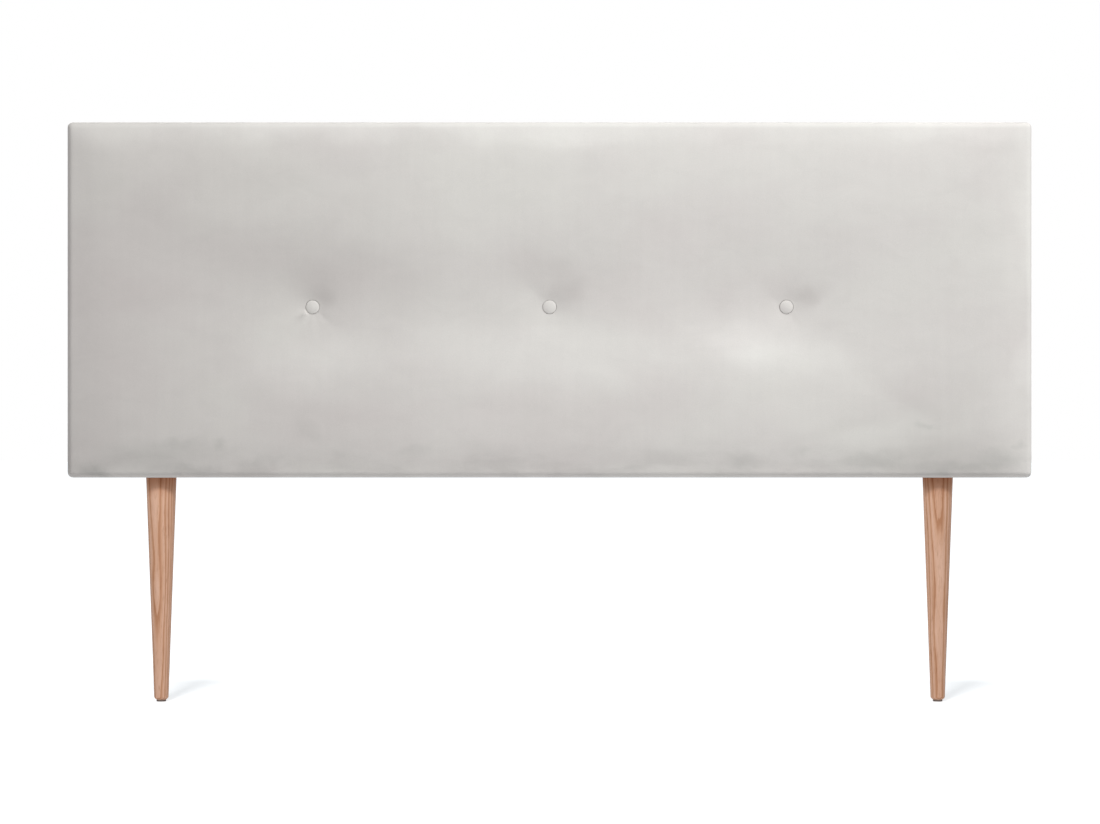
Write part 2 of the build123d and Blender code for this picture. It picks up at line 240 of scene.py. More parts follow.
def arc(cx, cy, radius, start, end, count):
    """Points on an arc, angles in degrees."""
    steps = [math.radians(start + (end - start) * i / count) for i in range(count + 1)]
    return [(cx + radius * math.cos(a), cy + radius * math.sin(a)) for a in steps]


def smoothstep(share):
    """A share from 0 to 1, eased at both ends."""
    return share * share * (3 - 2 * share)


def waves(x, z, seed, count, lengths):
    """A few fixed waves in all directions, each as high as it is long."""
    rng = np.random.default_rng(seed)
    total = np.zeros_like(x)
    for _ in range(count):
        length = rng.uniform(*lengths)
        turn = rng.uniform(0, math.pi)
        phase = rng.uniform(0, 2 * math.pi)
        k = 2 * math.pi / length
        total += length * np.sin(k * (x * math.cos(turn) + z * math.sin(turn)) + phase)
    return total


def button_centres():
    """The middle of each button from left to right, as (x, z)."""
    points = read_points(nodes["covered_buttons"].data)
    third = (BUTTON_HI.x - BUTTON_LO.x) / 3
    hair = 1e-6
    centres = []
    for i in range(3):
        low = BUTTON_LO.x + i * third
        part = points[(points[:, 0] >= low - hair) & (points[:, 0] <= low + third + hair)]
        middle = (part.min(0) + part.max(0)) / 2
        centres.append((middle[0], middle[2]))
    return centres


CENTRES = button_centres()


# Material helpers


def feed(tree, node, values):
    """Give a node's inputs, by name or number, a plain value or another node's output."""
    for key, value in values.items():
        if isinstance(value, bpy.types.NodeSocket):
            tree.links.new(value, node.inputs[key])
        else:
            node.inputs[key].default_value = value


def new_material(name):
    mat = bpy.data.materials.new(name)
    mat.use_nodes = True
    tree = mat.node_tree
    tree.nodes.clear()
    out = tree.nodes.new("ShaderNodeOutputMaterial")
    bsdf = tree.nodes.new("ShaderNodeBsdfPrincipled")
    feed(tree, out, {"Surface": bsdf.outputs["BSDF"]})
    return mat, tree, bsdf


def mapped(tree, vector, kind, location, rotation, scale):
    node = tree.nodes.new("ShaderNodeMapping")
    node.vector_type = kind
    feed(tree, node, {"Vector": vector, "Location": location, "Rotation": rotation, "Scale": scale})
    return node.outputs["Vector"]


def place_vector(tree, scale=(1, 1, 1), rotation=(0, 0, 0), location=(0, 0, 0)):
    """The piece's own coordinates, in metres, scaled and turned."""
    coord = tree.nodes.new("ShaderNodeTexCoord")
    return mapped(tree, coord.outputs["Object"], "POINT", location, rotation, scale)


def noise(tree, scale, detail, roughness=0.5, distortion=0.0, stretch=(1, 1, 1), shift=(0, 0, 0)):
    """Noise in the piece's own coordinates, scaled by stretch and moved by shift."""
    node = tree.nodes.new("ShaderNodeTexNoise")
    feed(tree, node, {
        "Vector": place_vector(tree, stretch, location=shift),
        "Scale": scale,
        "Detail": detail,
        "Roughness": roughness,
        "Distortion": distortion,
    })
    return node.outputs["Fac"]


def ramp(tree, value, stops):
    """A colour ramp through (position, colour) stops, colours as grey numbers or triples."""
    node = tree.nodes.new("ShaderNodeValToRGB")
    elements = node.color_ramp.elements
    while len(elements) < len(stops):
        elements.new(0.5)
    for element, (position, colour) in zip(elements, stops):
        element.position = position
        rgb = (colour,) * 3 if isinstance(colour, (int, float)) else colour
        element.color = (*rgb, 1)
    feed(tree, node, {"Fac": value})
    return node.outputs["Color"]


def smooth_range(tree, value, low, high, start=0.0, end=1.0):
    """From start at low to end at high, eased at both ends."""
    node = tree.nodes.new("ShaderNodeMapRange")
    node.interpolation_type = "SMOOTHSTEP"
    feed(tree, node, {
        "Value": value, "From Min": low, "From Max": high, "To Min": start, "To Max": end,
    })
    return node.outputs["Result"]


def math_node(tree, operation, *values):
    node = tree.nodes.new("ShaderNodeMath")
    node.operation = operation
    feed(tree, node, dict(enumerate(values)))
    return node.outputs["Value"]


def vector_math(tree, operation, *values):
    node = tree.nodes.new("ShaderNodeVectorMath")
    node.operation = operation
    feed(tree, node, dict(enumerate(values)))
    return node.outputs["Value" if operation == "LENGTH" else "Vector"]


def multiply(tree, a, b, factor=1.0):
    """Colour a multiplied with colour b, as far as the factor says."""
    node = tree.nodes.new("ShaderNodeMix")
    node.data_type = "RGBA"
    node.blend_type = "MULTIPLY"
    # Its colour inputs are numbers 6 and 7 and its colour output number 2
    feed(tree, node, {0: factor, 6: a, 7: (*b, 1) if isinstance(b, tuple) else b})
    return node.outputs[2]


def bump(tree, bsdf, height, strength, distance, under=None):
    """Relief in the shading, on top of the relief under it if there is one."""
    node = tree.nodes.new("ShaderNodeBump")
    feed(tree, node, {"Height": height, "Strength": strength, "Distance": distance})
    if under is not None:
        feed(tree, node, {"Normal": under})
    feed(tree, bsdf, {"Normal": node.outputs["Normal"]})
    return node.outputs["Normal"]


# Velvet


# Tones of the velvet at places on a wide noise
VELVET_TONES = (
    (0.30, (0.640, 0.607, 0.588)),
    (0.50, (0.664, 0.640, 0.616)),
    (0.70, (0.686, 0.669, 0.638)),
)

# Soft patches on the front, of brushed nap and of painted shade and painted light: a darker left
# side, darker spots beside the buttons, lighter bands below them, lighter strips at the side edges
# and a darker line low down. Each: centre x and z, half sizes, turn in degrees, tone
NAP_AND_PAINTED_SHADING = (
    (-0.900, 0.640, 1.050, 1.600, 0, 0.865),
    (-0.570, 0.780, 0.300, 0.090, -28, 0.960),
    (-0.350, 0.725, 0.300, 0.095, -6, 0.945),
    (-0.375, 0.700, 0.080, 0.055, -25, 0.960),
    (-0.760, 0.440, 0.080, 0.090, 0, 0.960),
    (-0.365, 0.590, 0.150, 0.060, -10, 1.035),
    (-0.010, 0.722, 0.110, 0.055, -15, 0.955),
    (0.030, 0.690, 0.060, 0.035, 10, 0.965),
    (0.020, 0.575, 0.560, 0.085, 0, 1.085),
    (0.400, 0.585, 0.170, 0.065, -12, 1.075),
    (0.435, 0.680, 0.060, 0.032, 20, 0.965),
    (0.400, 0.870, 0.480, 0.110, 2, 1.020),
    (0.610, 0.502, 0.120, 0.032, -35, 0.965),
    (0.470, 0.455, 0.130, 0.022, 12, 0.975),
    (-0.805, 0.680, 0.034, 0.600, 0, 1.020),
    (0.805, 0.680, 0.030, 0.600, 0, 1.080),
    (0.680, 0.740, 0.150, 0.220, 0, 0.980),
    (0.600, 0.490, 0.180, 0.065, 0, 0.962),
    (0.650, 0.408, 0.180, 0.075, 8, 0.860),
    (0.300, 0.612, 0.120, 0.060, -15, 1.100),
    (-0.362, 0.676, 0.040, 0.028, -20, 0.930),
    (0.026, 0.672, 0.040, 0.030, -20, 0.940),
    (0.420, 0.674, 0.045, 0.032, -20, 0.915),
    (-0.420, 0.555, 0.170, 0.070, -15, 1.070),
    (-0.160, 0.475, 0.180, 0.065, 0, 1.035),
    (0.200, 0.715, 0.100, 0.110, 0, 1.040),
    (0.665, 0.515, 0.110, 0.085, 0, 0.945),
    (0.000, 0.396, 1.600, 0.024, 0, 0.965),
    (-0.520, 0.870, 0.170, 0.050, 0, 0.965),
)

# Painted highlight along the top of the front, where light falls on the upper roll, in the same form
PAINTED_TOP_HIGHLIGHT = (
    (-0.100, 0.968, 1.600, 0.052, 0, 1.140),
    (-0.420, 0.966, 0.400, 0.040, 0, 1.050),
    (0.660, 0.966, 0.150, 0.040, 0, 1.050),
)

# Crushed marks near the lower edge, in the same form
MARKS = (
    (-0.663, 0.412, 0.170, 0.036, 0, 0.928),
    (-0.615, 0.432, 0.060, 0.013, 4, 0.935),
    (-0.545, 0.431, 0.018, 0.015, 0, 0.909),
    (-0.590, 0.388, 0.070, 0.014, -3, 0.903),
    (-0.750, 0.385, 0.040, 0.013, -12, 0.844),
    (-0.478, 0.403, 0.055, 0.014, 5, 0.942),
    (-0.398, 0.452, 0.040, 0.022, -40, 0.954),
    (-0.225, 0.423, 0.045, 0.013, 8, 0.948),
    (0.316, 0.404, 0.045, 0.020, 0, 0.935),
    (0.420, 0.420, 0.030, 0.010, 0, 0.954),
    (0.532, 0.405, 0.080, 0.022, 0, 0.928),
    (0.622, 0.461, 0.034, 0.009, -6, 0.910),
    (0.657, 0.392, 0.120, 0.016, 0, 0.903),
    (0.743, 0.405, 0.065, 0.026, 0, 0.896),
    (0.778, 0.431, 0.016, 0.010, 40, 0.922),
)

# Painted light on the rolls at the left and at the bottom, in the same form
PAINTED_ROLL_LIGHT = (
    (-0.803, 0.670, 0.012, 1.200, 0, 1.160),
    (0.000, 0.374, 3.000, 0.010, 0, 1.120),
)

# Powers of a patch's tone in red, green and blue, which tint it
NAP_AND_PAINTED_SHADING_TINT = (0.95, 1.03, 1.02)
MARKS_TINT = (1.05, 0.97, 1.0)
PAINTED_ROLL_LIGHT_TINT = (0.95, 1.0, 1.08)

# Each set of patches: scale and reach of the noise at its outlines, tint, centre y and half depth
ANY_DEPTH = 1000.0
PATCHES = (
    (NAP_AND_PAINTED_SHADING, 9.0, 0.10, NAP_AND_PAINTED_SHADING_TINT, 0.0, ANY_DEPTH),
    (PAINTED_TOP_HIGHLIGHT, 9.0, 0.10, NAP_AND_PAINTED_SHADING_TINT, FRONT_Y, 0.060),
    (MARKS, 48.0, 0.040, MARKS_TINT, 0.0, ANY_DEPTH),
    (PAINTED_ROLL_LIGHT, 9.0, 0.0, PAINTED_ROLL_LIGHT_TINT, FRONT_Y + 0.010, 0.030),
)
# The part of a patch's half size over which its edge is soft
PATCH_SOFT = 0.9

# The heights between which the finer crushing above the lower edge fades out
CRUSH_LOW, CRUSH_HIGH = 0.385, 0.450


def nap_and_painted_light_patch(tree, vector, form, tint, y, half_y):
    """A soft-edged patch, of brushed nap, crushed pile, painted shade and painted light alike, as a
    colour to multiply by.
    """
    x, z, half_x, half_z, turn, tone = form
    rotation = (0, -math.radians(turn), 0)
    ball = tree.nodes.new("ShaderNodeTexGradient")
    ball.gradient_type = "SPHERICAL"
    inside = mapped(tree, vector, "TEXTURE", (x, y, z), rotation, (half_x, half_y, half_z))
    feed(tree, ball, {"Vector": inside})
    level = smooth_range(tree, ball.outputs["Fac"], 0.0, PATCH_SOFT, 1.0, tone)
    tinted = tree.nodes.new("ShaderNodeCombineColor")
    for channel, power in zip(("Red", "Green", "Blue"), tint):
        feed(tree, tinted, {channel: math_node(tree, "POWER", level, power)})
    return tinted.outputs["Color"]


def wandering(tree, vector, scale, reach):
    """The same places, shifted a little by noise so that outlines on them wander."""
    wander = tree.nodes.new("ShaderNodeTexNoise")
    feed(tree, wander, {"Vector": vector, "Scale": scale, "Detail": 3.0})
    full = (reach, 0.0, 0.6 * reach)
    half_back = tuple(-s / 2 for s in full)
    shift = vector_math(tree, "MULTIPLY_ADD", wander.outputs["Color"], full, half_back)
    return vector_math(tree, "ADD", vector, shift)


def velvet_material(name, level, patches):
    """Short-pile velvet: brushed nap with painted shade and painted light in soft patches, crushed
    marks low down, fine fibre.
    """
    mat, tree, bsdf = new_material(name)
    plain = place_vector(tree)
    wide = noise(tree, scale=3.2, detail=4, distortion=0.3,
                 stretch=(1.0, 1.0, 1.5), shift=(3.1, 0, 0.4))
    middle = noise(tree, scale=16.0, detail=5, roughness=0.6, distortion=0.6,
                   stretch=(1.0, 1.0, 1.8), shift=(0.7, 0, 0))
    streaks = noise(tree, scale=90.0, detail=2, stretch=(1.0, 1.0, 0.06))
    fibre = noise(tree, scale=1500.0, detail=2, roughness=0.6, stretch=(1.0, 1.0, 0.55))

    # The level makes the whole copy lighter or darker; on the buttons it is painted light and shade
    tone = ramp(tree, wide, [(at, tuple(level * c for c in colour)) for at, colour in VELVET_TONES])
    # Patches of brushed nap, crushed pile, painted shade and painted light multiply the tone
    for forms, scale, reach, tint, y, half_y in patches:
        moved = wandering(tree, plain, scale, reach)
        for form in forms:
            tone = multiply(tree, tone, nap_and_painted_light_patch(tree, moved, form, tint, y, half_y))
    tone = multiply(tree, tone, ramp(tree, middle, ((0.30, 0.975), (0.55, 1.0), (0.75, 1.015))))
    tone = multiply(tree, tone, ramp(tree, streaks, ((0.35, 0.994), (0.65, 1.004))))
    tone = multiply(tree, tone, ramp(tree, fibre, ((0.30, 0.955), (0.70, 1.035))))

    height = tree.nodes.new("ShaderNodeSeparateXYZ")
    feed(tree, height, {"Vector": plain})
    low_down = smooth_range(tree, height.outputs["Z"], CRUSH_LOW, CRUSH_HIGH, 1.0, 0.0)
    crushed = noise(tree, scale=11.0, detail=4, roughness=0.6, distortion=0.3,
                    stretch=(1.0, 1.0, 2.8), shift=(0.2, 0, 1.3))
    finer = ramp(tree, crushed, ((0.36, 0.92), (0.54, 1.0), (0.70, 1.02)))
    tone = multiply(tree, tone, finer, low_down)

    feed(tree, bsdf, {
        "Base Color": tone,
        "Roughness": 0.85,
        "Specular IOR Level": 0.15,
        "Sheen Weight": 0.35,
        "Sheen Roughness": 0.45,
        "Sheen Tint": (0.95, 0.94, 0.92, 1),
    })
    first = bump(tree, bsdf, middle, strength=0.08, distance=0.004)
    bump(tree, bsdf, fibre, strength=0.30, distance=0.0004, under=first)
    return mat


# Wood


# Growth rings: their distance, and how far wide and fine noise bends them
RING_GAP = 0.0036
RING_BEND = 0.012
RING_FUZZ = 0.0016

OAK_PALE = (0.690, 0.437, 0.318)
OAK_MIDDLE = (0.635, 0.372, 0.248)
OAK_DARK = (0.470, 0.235, 0.130)
# Painted shade: the colour the leg's top takes where the board above shades it
OAK_PAINTED_SHADE = (0.66, 0.50, 0.40)

# Painted shade at the leg's top, where the board shades it, grows between these heights
PAINTED_SHADE_LOW, PAINTED_SHADE_HIGH = 0.338, 0.376


def oak_material(name, pith, lean, shift):
    """Reddish oak turned from a plank: growth rings round a pith beside the leg, and open pores."""
    mat, tree, bsdf = new_material(name)
    bend = noise(tree, scale=26.0, detail=2, stretch=(1, 1, 0.12), shift=shift)
    fine = noise(tree, scale=240.0, detail=3, roughness=0.6, stretch=(1, 1, 0.05), shift=shift)
    broad = noise(tree, scale=60.0, detail=2, stretch=(1, 1, 0.18), shift=shift)
    pores = noise(tree, scale=1100.0, detail=2, roughness=0.6, stretch=(1, 1, 0.03), shift=shift)

    leaned = mapped(tree, place_vector(tree), "TEXTURE", pith, lean, (1, 1, 1))
    from_pith = vector_math(tree, "LENGTH", vector_math(tree, "MULTIPLY", leaned, (1, 1, 0)))
    bent = math_node(tree, "MULTIPLY_ADD", bend, RING_BEND, from_pith)
    fuzzy = math_node(tree, "MULTIPLY_ADD", fine, RING_FUZZ, bent)
    phase = math_node(tree, "FRACT", math_node(tree, "DIVIDE", fuzzy, RING_GAP))
    tone = ramp(tree, phase, (
        (0.0, OAK_MIDDLE), (0.25, OAK_PALE), (0.62, OAK_MIDDLE),
        (0.88, OAK_DARK), (0.97, OAK_DARK), (1.0, OAK_MIDDLE),
    ))
    shade = ramp(tree, broad, ((0.30, (0.93, 0.89, 0.86)), (0.70, (1.04, 1.05, 1.06))))
    tone = multiply(tree, tone, shade)
    tone = multiply(tree, tone, ramp(tree, pores, ((0.30, (0.74, 0.68, 0.62)), (0.44, 1.0))))

    height = tree.nodes.new("ShaderNodeSeparateXYZ")
    feed(tree, height, {"Vector": place_vector(tree)})
    # Painted shade at the leg's top, under the board
    upper = smooth_range(tree, height.outputs["Z"], PAINTED_SHADE_LOW, PAINTED_SHADE_HIGH)
    tone = multiply(tree, tone, OAK_PAINTED_SHADE, upper)

    feed(tree, bsdf, {
        "Base Color": tone,
        "Roughness": ramp(tree, pores, ((0.3, 0.60), (0.6, 0.42))),
        "Specular IOR Level": 0.15,
    })
    bump(tree, bsdf, pores, strength=0.25, distance=0.0004)
    return mat


def grained(name, dark, light, scale, stretch, roughness, relief):
    """A plain wood or board: streaks along one axis between two tones."""
    mat, tree, bsdf = new_material(name)
    grain = noise(tree, scale, detail=4, roughness=0.6, distortion=0.3, stretch=stretch)
    feed(tree, bsdf, {
        "Base Color": ramp(tree, grain, ((0.3, dark), (0.7, light))),
        "Roughness": roughness,
    })
    bump(tree, bsdf, grain, strength=relief, distance=0.0005)
    return mat


# Cloth, metal, foam, nylon and twine


def dust_cloth_material():
    """Thin non-woven cloth: pressed dots in rows over matted fibre."""
    mat, tree, bsdf = new_material("dust_cloth")
    fibre = noise(tree, scale=420.0, detail=4, roughness=0.7, distortion=1.2)
    cloud = noise(tree, scale=38.0, detail=4, roughness=0.6)
    dots = tree.nodes.new("ShaderNodeTexVoronoi")
    feed(tree, dots, {"Vector": place_vector(tree), "Scale": 420.0, "Randomness": 0.12})
    pressed = ramp(tree, dots.outputs["Distance"], ((0.18, 0.0), (0.34, 1.0)))
    tone = ramp(tree, fibre, ((0.3, (0.024, 0.024, 0.026)), (0.7, (0.060, 0.060, 0.063))))
    tone = multiply(tree, tone, ramp(tree, cloud, ((0.3, 0.78), (0.7, 1.25))))
    feed(tree, bsdf, {"Base Color": tone, "Roughness": 0.9})
    first = bump(tree, bsdf, fibre, strength=0.5, distance=0.0003)
    bump(tree, bsdf, pressed, strength=0.4, distance=0.0002, under=first)
    return mat


def steel_material():
    """Bright zinc plate: crystalline patches and fine scratches."""
    mat, tree, bsdf = new_material("zinc_steel")
    patches = noise(tree, scale=260.0, detail=2, distortion=0.5)
    scratches = noise(tree, scale=320.0, detail=2, stretch=(1, 1, 14))
    feed(tree, bsdf, {
        "Base Color": ramp(tree, patches, ((0.3, (0.52, 0.53, 0.54)), (0.7, (0.66, 0.66, 0.65)))),
        "Roughness": ramp(tree, scratches, ((0.3, 0.26), (0.7, 0.44))),
        "Metallic": 1.0,
    })
    bump(tree, bsdf, scratches, strength=0.08, distance=0.0002)
    return mat


def foam_material():
    mat, tree, bsdf = new_material("open_cell_foam")
    cells = noise(tree, scale=900.0, detail=3, roughness=0.7)
    feed(tree, bsdf, {
        "Base Color": ramp(tree, cells, ((0.3, (0.62, 0.52, 0.26)), (0.7, (0.80, 0.72, 0.46)))),
        "Roughness": 0.95,
    })
    bump(tree, bsdf, cells, strength=0.6, distance=0.0006)
    return mat


def nylon_material():
    mat, tree, bsdf = new_material("glide_nylon")
    scuffs = noise(tree, scale=600.0, detail=3, roughness=0.6)
    tone = ramp(tree, scuffs, ((0.3, (0.115, 0.085, 0.072)), (0.7, (0.150, 0.115, 0.100))))
    feed(tree, bsdf, {"Base Color": tone, "Roughness": 0.6})
    bump(tree, bsdf, scuffs, strength=0.15, distance=0.0002)
    return mat


def twine_material():
    mat, tree, bsdf = new_material("waxed_twine")
    ply = tree.nodes.new("ShaderNodeTexWave")
    along = place_vector(tree, rotation=(0.6, 0.6, 0))
    feed(tree, ply, {"Vector": along, "Scale": 320.0, "Distortion": 1.0})
    tone = ramp(tree, ply.outputs["Fac"], ((0.2, (0.62, 0.58, 0.46)), (0.8, (0.80, 0.77, 0.66))))
    feed(tree, bsdf, {"Base Color": tone, "Roughness": 0.7})
    bump(tree, bsdf, ply.outputs["Fac"], strength=0.5, distance=0.0003)
    return mat


VELVET = velvet_material("velvet", 1.0, PATCHES)
OAK = {
    "left": oak_material("turned_oak_left", pith=(-0.634, 0.066, 0.20), lean=(0.022, -0.018, 0),
                         shift=(0.3, 0.1, 0.6)),
    "right": oak_material("turned_oak_right", pith=(0.655, 0.070, 0.20), lean=(0.030, 0.012, 0),
                          shift=(1.7, 0.4, 2.2)),
}
DUST_CLOTH = dust_cloth_material()
BY_SLOT = {
    "pine": grained("planed_pine", dark=(0.52, 0.34, 0.17), light=(0.70, 0.52, 0.31),
                    scale=60.0, stretch=(0.12, 1, 1), roughness=0.65, relief=0.2),
    "hardboard": grained("hardboard", dark=(0.17, 0.095, 0.05), light=(0.27, 0.16, 0.09),
                         scale=220.0, stretch=(1, 1, 1), roughness=0.7, relief=0.3),
    "foam": foam_material(),
    "velvet": VELVET,
    "dust_cloth": DUST_CLOTH,
    "zinc_steel": steel_material(),
    "twine": twine_material(),
    "leg_wood": OAK["left"],
    "glide_nylon": nylon_material(),
}


def dress(obj, material):
    obj.data.materials.clear()
    obj.data.materials.append(material)


for part in frame["record"]["subparts"]:
    dress(nodes[part["node"]], BY_SLOT[part["material_slot"]])


# The padded cover


def between(start, end, step):
    """Evenly spaced places between two, without the two themselves."""
    count = max(1, round((end - start) / step))
    return [start + (end - start) * i / count for i in range(1, count)]


def roll_start(half):
    """How far from the middle the crown meets the rolled edge."""
    return half - ROLL_R * (1 - math.sin(CROWN_TILT))


def grid_lines(half, centres):
    """Places from -half to half, and which of them start each button's square."""
    bend = math.pi / 2 - CROWN_TILT
    roll = [CROWN_TILT + bend * i / ROLL_STEPS for i in range(1, ROLL_STEPS + 1)]
    ends = [half - ROLL_R * (1 - math.sin(a)) for a in roll]
    lines = [-e for e in reversed(ends)] + [-roll_start(half)]
    starts = []
    for c in centres:
        first = c - PATCH_CELLS * PITCH
        lines += between(lines[-1], first, COARSE)
        starts.append(len(lines))
        lines += [first + k * PITCH for k in range(2 * PATCH_CELLS + 1)]
    lines += between(lines[-1], roll_start(half), COARSE) + [roll_start(half)] + ends
    return np.array(lines), starts


def edge_drop(distance, half):
    """How far the crown and the rolled edge fall away behind the front plane."""
    d = np.abs(distance)
    on_crown = np.clip(d - (roll_start(half) - CROWN_REACH), 0, CROWN_REACH)
    drop = CROWN_R - np.sqrt(CROWN_R**2 - on_crown**2)
    across = np.clip((d - (half - ROLL_R)) / ROLL_R, math.sin(CROWN_TILT), 1)
    return drop + ROLL_R * (math.cos(CROWN_TILT) - np.sqrt(1 - across**2))


def smooth_max(a, b, width):
    """The larger of two, blended where they are within the width of each other."""
    h = np.clip(0.5 + 0.5 * (a - b) / width, 0, 1)
    return b + (a - b) * h + width * h * (1 - h)


def pulled_in(x, z):
    """How far the buttons pull the front in, with the valley between them."""
    row = sum(c[1] for c in CENTRES) / len(CENTRES)
    past_ends = np.clip(np.abs(x) - abs(CENTRES[-1][0]), 0, None)
    depth = VALLEY_DEPTH * np.exp(-((z - row) ** 2) / (2 * VALLEY_SPREAD**2))
    depth *= np.exp(-(past_ends**2) / (2 * VALLEY_END_SPREAD**2))
    for (cx, cz), folds in zip(CENTRES, FOLDS):
        t = np.clip(np.hypot(x - cx, z - cz) - SEAT_R, 0, None)
        for fall, reach in HOLLOWS:
            depth += fall * np.exp(-t / reach)
        angle = np.degrees(np.arctan2(z - cz, x - cx))
        for direction, half_width, height, reach in folds:
            off = (angle - direction + 180) % 360 - 180
            out = t / (FOLD_PEAK * reach)
            depth += height * np.exp(-((off / half_width) ** 2)) * (out * np.exp(1 - out))
    return depth


def corner_shrink(cx, cz):
    """How much nearer a square corner's point lies on a rounded corner."""
    inside_corner = (cx > 0) & (cz > 0)
    return np.where(inside_corner, np.maximum(cx, cz) / np.maximum(np.hypot(cx, cz), 1e-9), 1.0)


def front_points(gx, gz):
    """The padded front over places (x, z measured from the middle)."""
    # Where two drops are equal, the blend adds a quarter of its width
    drop = smooth_max(edge_drop(gx, HALF_W), edge_drop(gz, HALF_H), CORNER_BLEND) - CORNER_BLEND / 4
    near_edge = np.minimum(HALF_W - np.abs(gx), HALF_H - np.abs(gz))
    calm = np.clip((near_edge - CALM_EDGE) / CALM_REACH, 0, 1)
    uneven = UNEVEN_HEIGHT * waves(gx, gz, 5, UNEVEN_WAVES, UNEVEN_LENGTHS)
    y = FRONT_Y + np.clip(drop, 0, None) + (pulled_in(gx, gz + MID_Z) + uneven) * calm
    cx = np.clip((np.abs(gx) - (HALF_W - CORNER_R)) / CORNER_R, 0, 1)
    cz = np.clip((np.abs(gz) - (HALF_H - CORNER_R)) / CORNER_R, 0, 1)
    shrink = corner_shrink(cx, cz)
    px = np.sign(gx) * np.where(cx > 0, HALF_W - CORNER_R + CORNER_R * cx * shrink, np.abs(gx))
    pz = np.sign(gz) * np.where(cz > 0, HALF_H - CORNER_R + CORNER_R * cz * shrink, np.abs(gz))
    return np.stack([px, y, pz + MID_Z], axis=-1)


def button_patch(verts, faces, loop, cx, cz):
    """Rings from a square loop of the front in to the button's seat, and the seat itself."""
    square = np.array([(verts[k][0], verts[k][2]) for k in loop])
    count = len(loop)
    # The loop starts at the square's lower left corner, and so do the rings
    turns = -0.75 * math.pi + 2 * math.pi * np.arange(count) / count
    circle = np.stack([cx + SEAT_R * np.cos(turns), cz + SEAT_R * np.sin(turns)], axis=-1)
    outer = loop
    for ring in range(PATCH_RINGS - 1, -1, -1):
        share = (ring / PATCH_RINGS) ** PATCH_CROWDING
        place = circle + (square - circle) * share
        start = len(verts)
        verts += front_points(place[:, 0], place[:, 1] - MID_Z).tolist()
        inner = list(range(start, start + count))
        bridge(faces, inner, outer)
        outer = inner
    for share, y in SEAT_RINGS:
        start = len(verts)
        verts += [[cx + (px - cx) * share, y, cz + (pz - cz) * share] for px, pz in circle]
        inner = list(range(start, start + count))
        bridge(faces, inner, outer)
        outer = inner
    faces.append(tuple(outer))


def outline(nx, nz):
    """The outermost points of a grid, in a ring that starts at its lower left corner."""
    loop = [i * nz for i in range(nx)]
    loop += [(nx - 1) * nz + j for j in range(1, nz)]
    loop += [i * nz + nz - 1 for i in range(nx - 2, -1, -1)]
    loop += [j for j in range(nz - 2, 0, -1)]
    return loop


def back_rings(edge):
    """Rings from the front's edge back along the sides, round the back edge and over the lip."""
    rings = []
    for share in np.linspace(0, 1, SIDE_STEPS + 1)[1:]:
        ring = edge.copy()
        ring[:, 1] += (BACK_Y - BACK_EDGE_R - edge[:, 1]) * share
        rings.append(ring)
    inward = edge.copy()
    inward[:, 0] = np.clip(edge[:, 0], -(HALF_W - LIP_W), HALF_W - LIP_W)
    inward[:, 2] = np.clip(edge[:, 2], MID_Z - HALF_H + LIP_W, MID_Z + HALF_H - LIP_W)
    towards = inward - edge
    towards[:, 1] = 0
    unit = towards / np.linalg.norm(towards, axis=1)[:, None]
    for a in (30, 60, 90):
        ring = edge + unit * BACK_EDGE_R * (1 - math.cos(math.radians(a)))
        ring[:, 1] = BACK_Y - BACK_EDGE_R * (1 - math.sin(math.radians(a)))
        rings.append(ring)
    for share in (0.25, 0.5, 0.75, 1.0):
        ring = edge + unit * BACK_EDGE_R + (towards - unit * BACK_EDGE_R) * share
        ring[:, 1] = BACK_Y
        rings.append(ring)
    return rings


def cover_mesh():
    """Front with its rolled edges, then the sides, and the lip turned in behind."""
    xs, x_starts = grid_lines(HALF_W, [c[0] for c in CENTRES])
    zs, z_starts = grid_lines(HALF_H, [CENTRES[0][1] - MID_Z])
    nx, nz = len(xs), len(zs)
    gx, gz = np.meshgrid(xs, zs, indexing="ij")
    verts = front_points(gx, gz).reshape(-1, 3).tolist()
    span = 2 * PATCH_CELLS
    j0 = z_starts[0]
    faces = []
    for (i, j), square in grid_squares(nx, nz).items():
        if not (j0 <= j < j0 + span and any(i0 <= i < i0 + span for i0 in x_starts)):
            faces.append(square)
    for i0, (cx, cz) in zip(x_starts, CENTRES):
        loop = [(i0 + k, j0) for k in range(span)] + [(i0 + span, j0 + k) for k in range(span)]
        loop += [(i0 + span - k, j0 + span) for k in range(span)]
        loop += [(i0, j0 + span - k) for k in range(span)]
        button_patch(verts, faces, [i * nz + j for i, j in loop], cx, cz)
    previous = outline(nx, nz)
    for ring in back_rings(np.array([verts[k] for k in previous])):
        start = len(verts)
        verts += ring.tolist()
        current = list(range(start, start + len(ring)))
        bridge(faces, previous, current)
        previous = current
    # The points inside the buttons' squares belong to no face and are left out
    used = sorted({v for f in faces for v in f})
    renumber = {v: k for k, v in enumerate(used)}
    faces = [tuple(renumber[v] for v in f) for f in faces]
    return make_object("padded_cover", [verts[v] for v in used], faces)


def spline_weights(t):
    """Weights of four neighbours in a cubic B-spline."""
    return (
        (1 - t) ** 3 / 6,
        (3 * t**3 - 6 * t**2 + 4) / 6,
        (-3 * t**3 + 3 * t**2 + 3 * t + 1) / 6,
        t**3 / 6,
    )


def spline_sample(field, rows, columns):
    """A grid's values at places between its points, without creases."""
    i, j = np.floor(rows).astype(int), np.floor(columns).astype(int)
    total = 0
    for a, across in enumerate(spline_weights(rows - i)):
        for b, along in enumerate(spline_weights(columns - j)):
            near_i = np.clip(i + a - 1, 0, field.shape[0] - 1)
            near_j = np.clip(j + b - 1, 0, field.shape[1] - 1)
            total = total + (across * along)[:, None] * field[near_i, near_j]
    return total


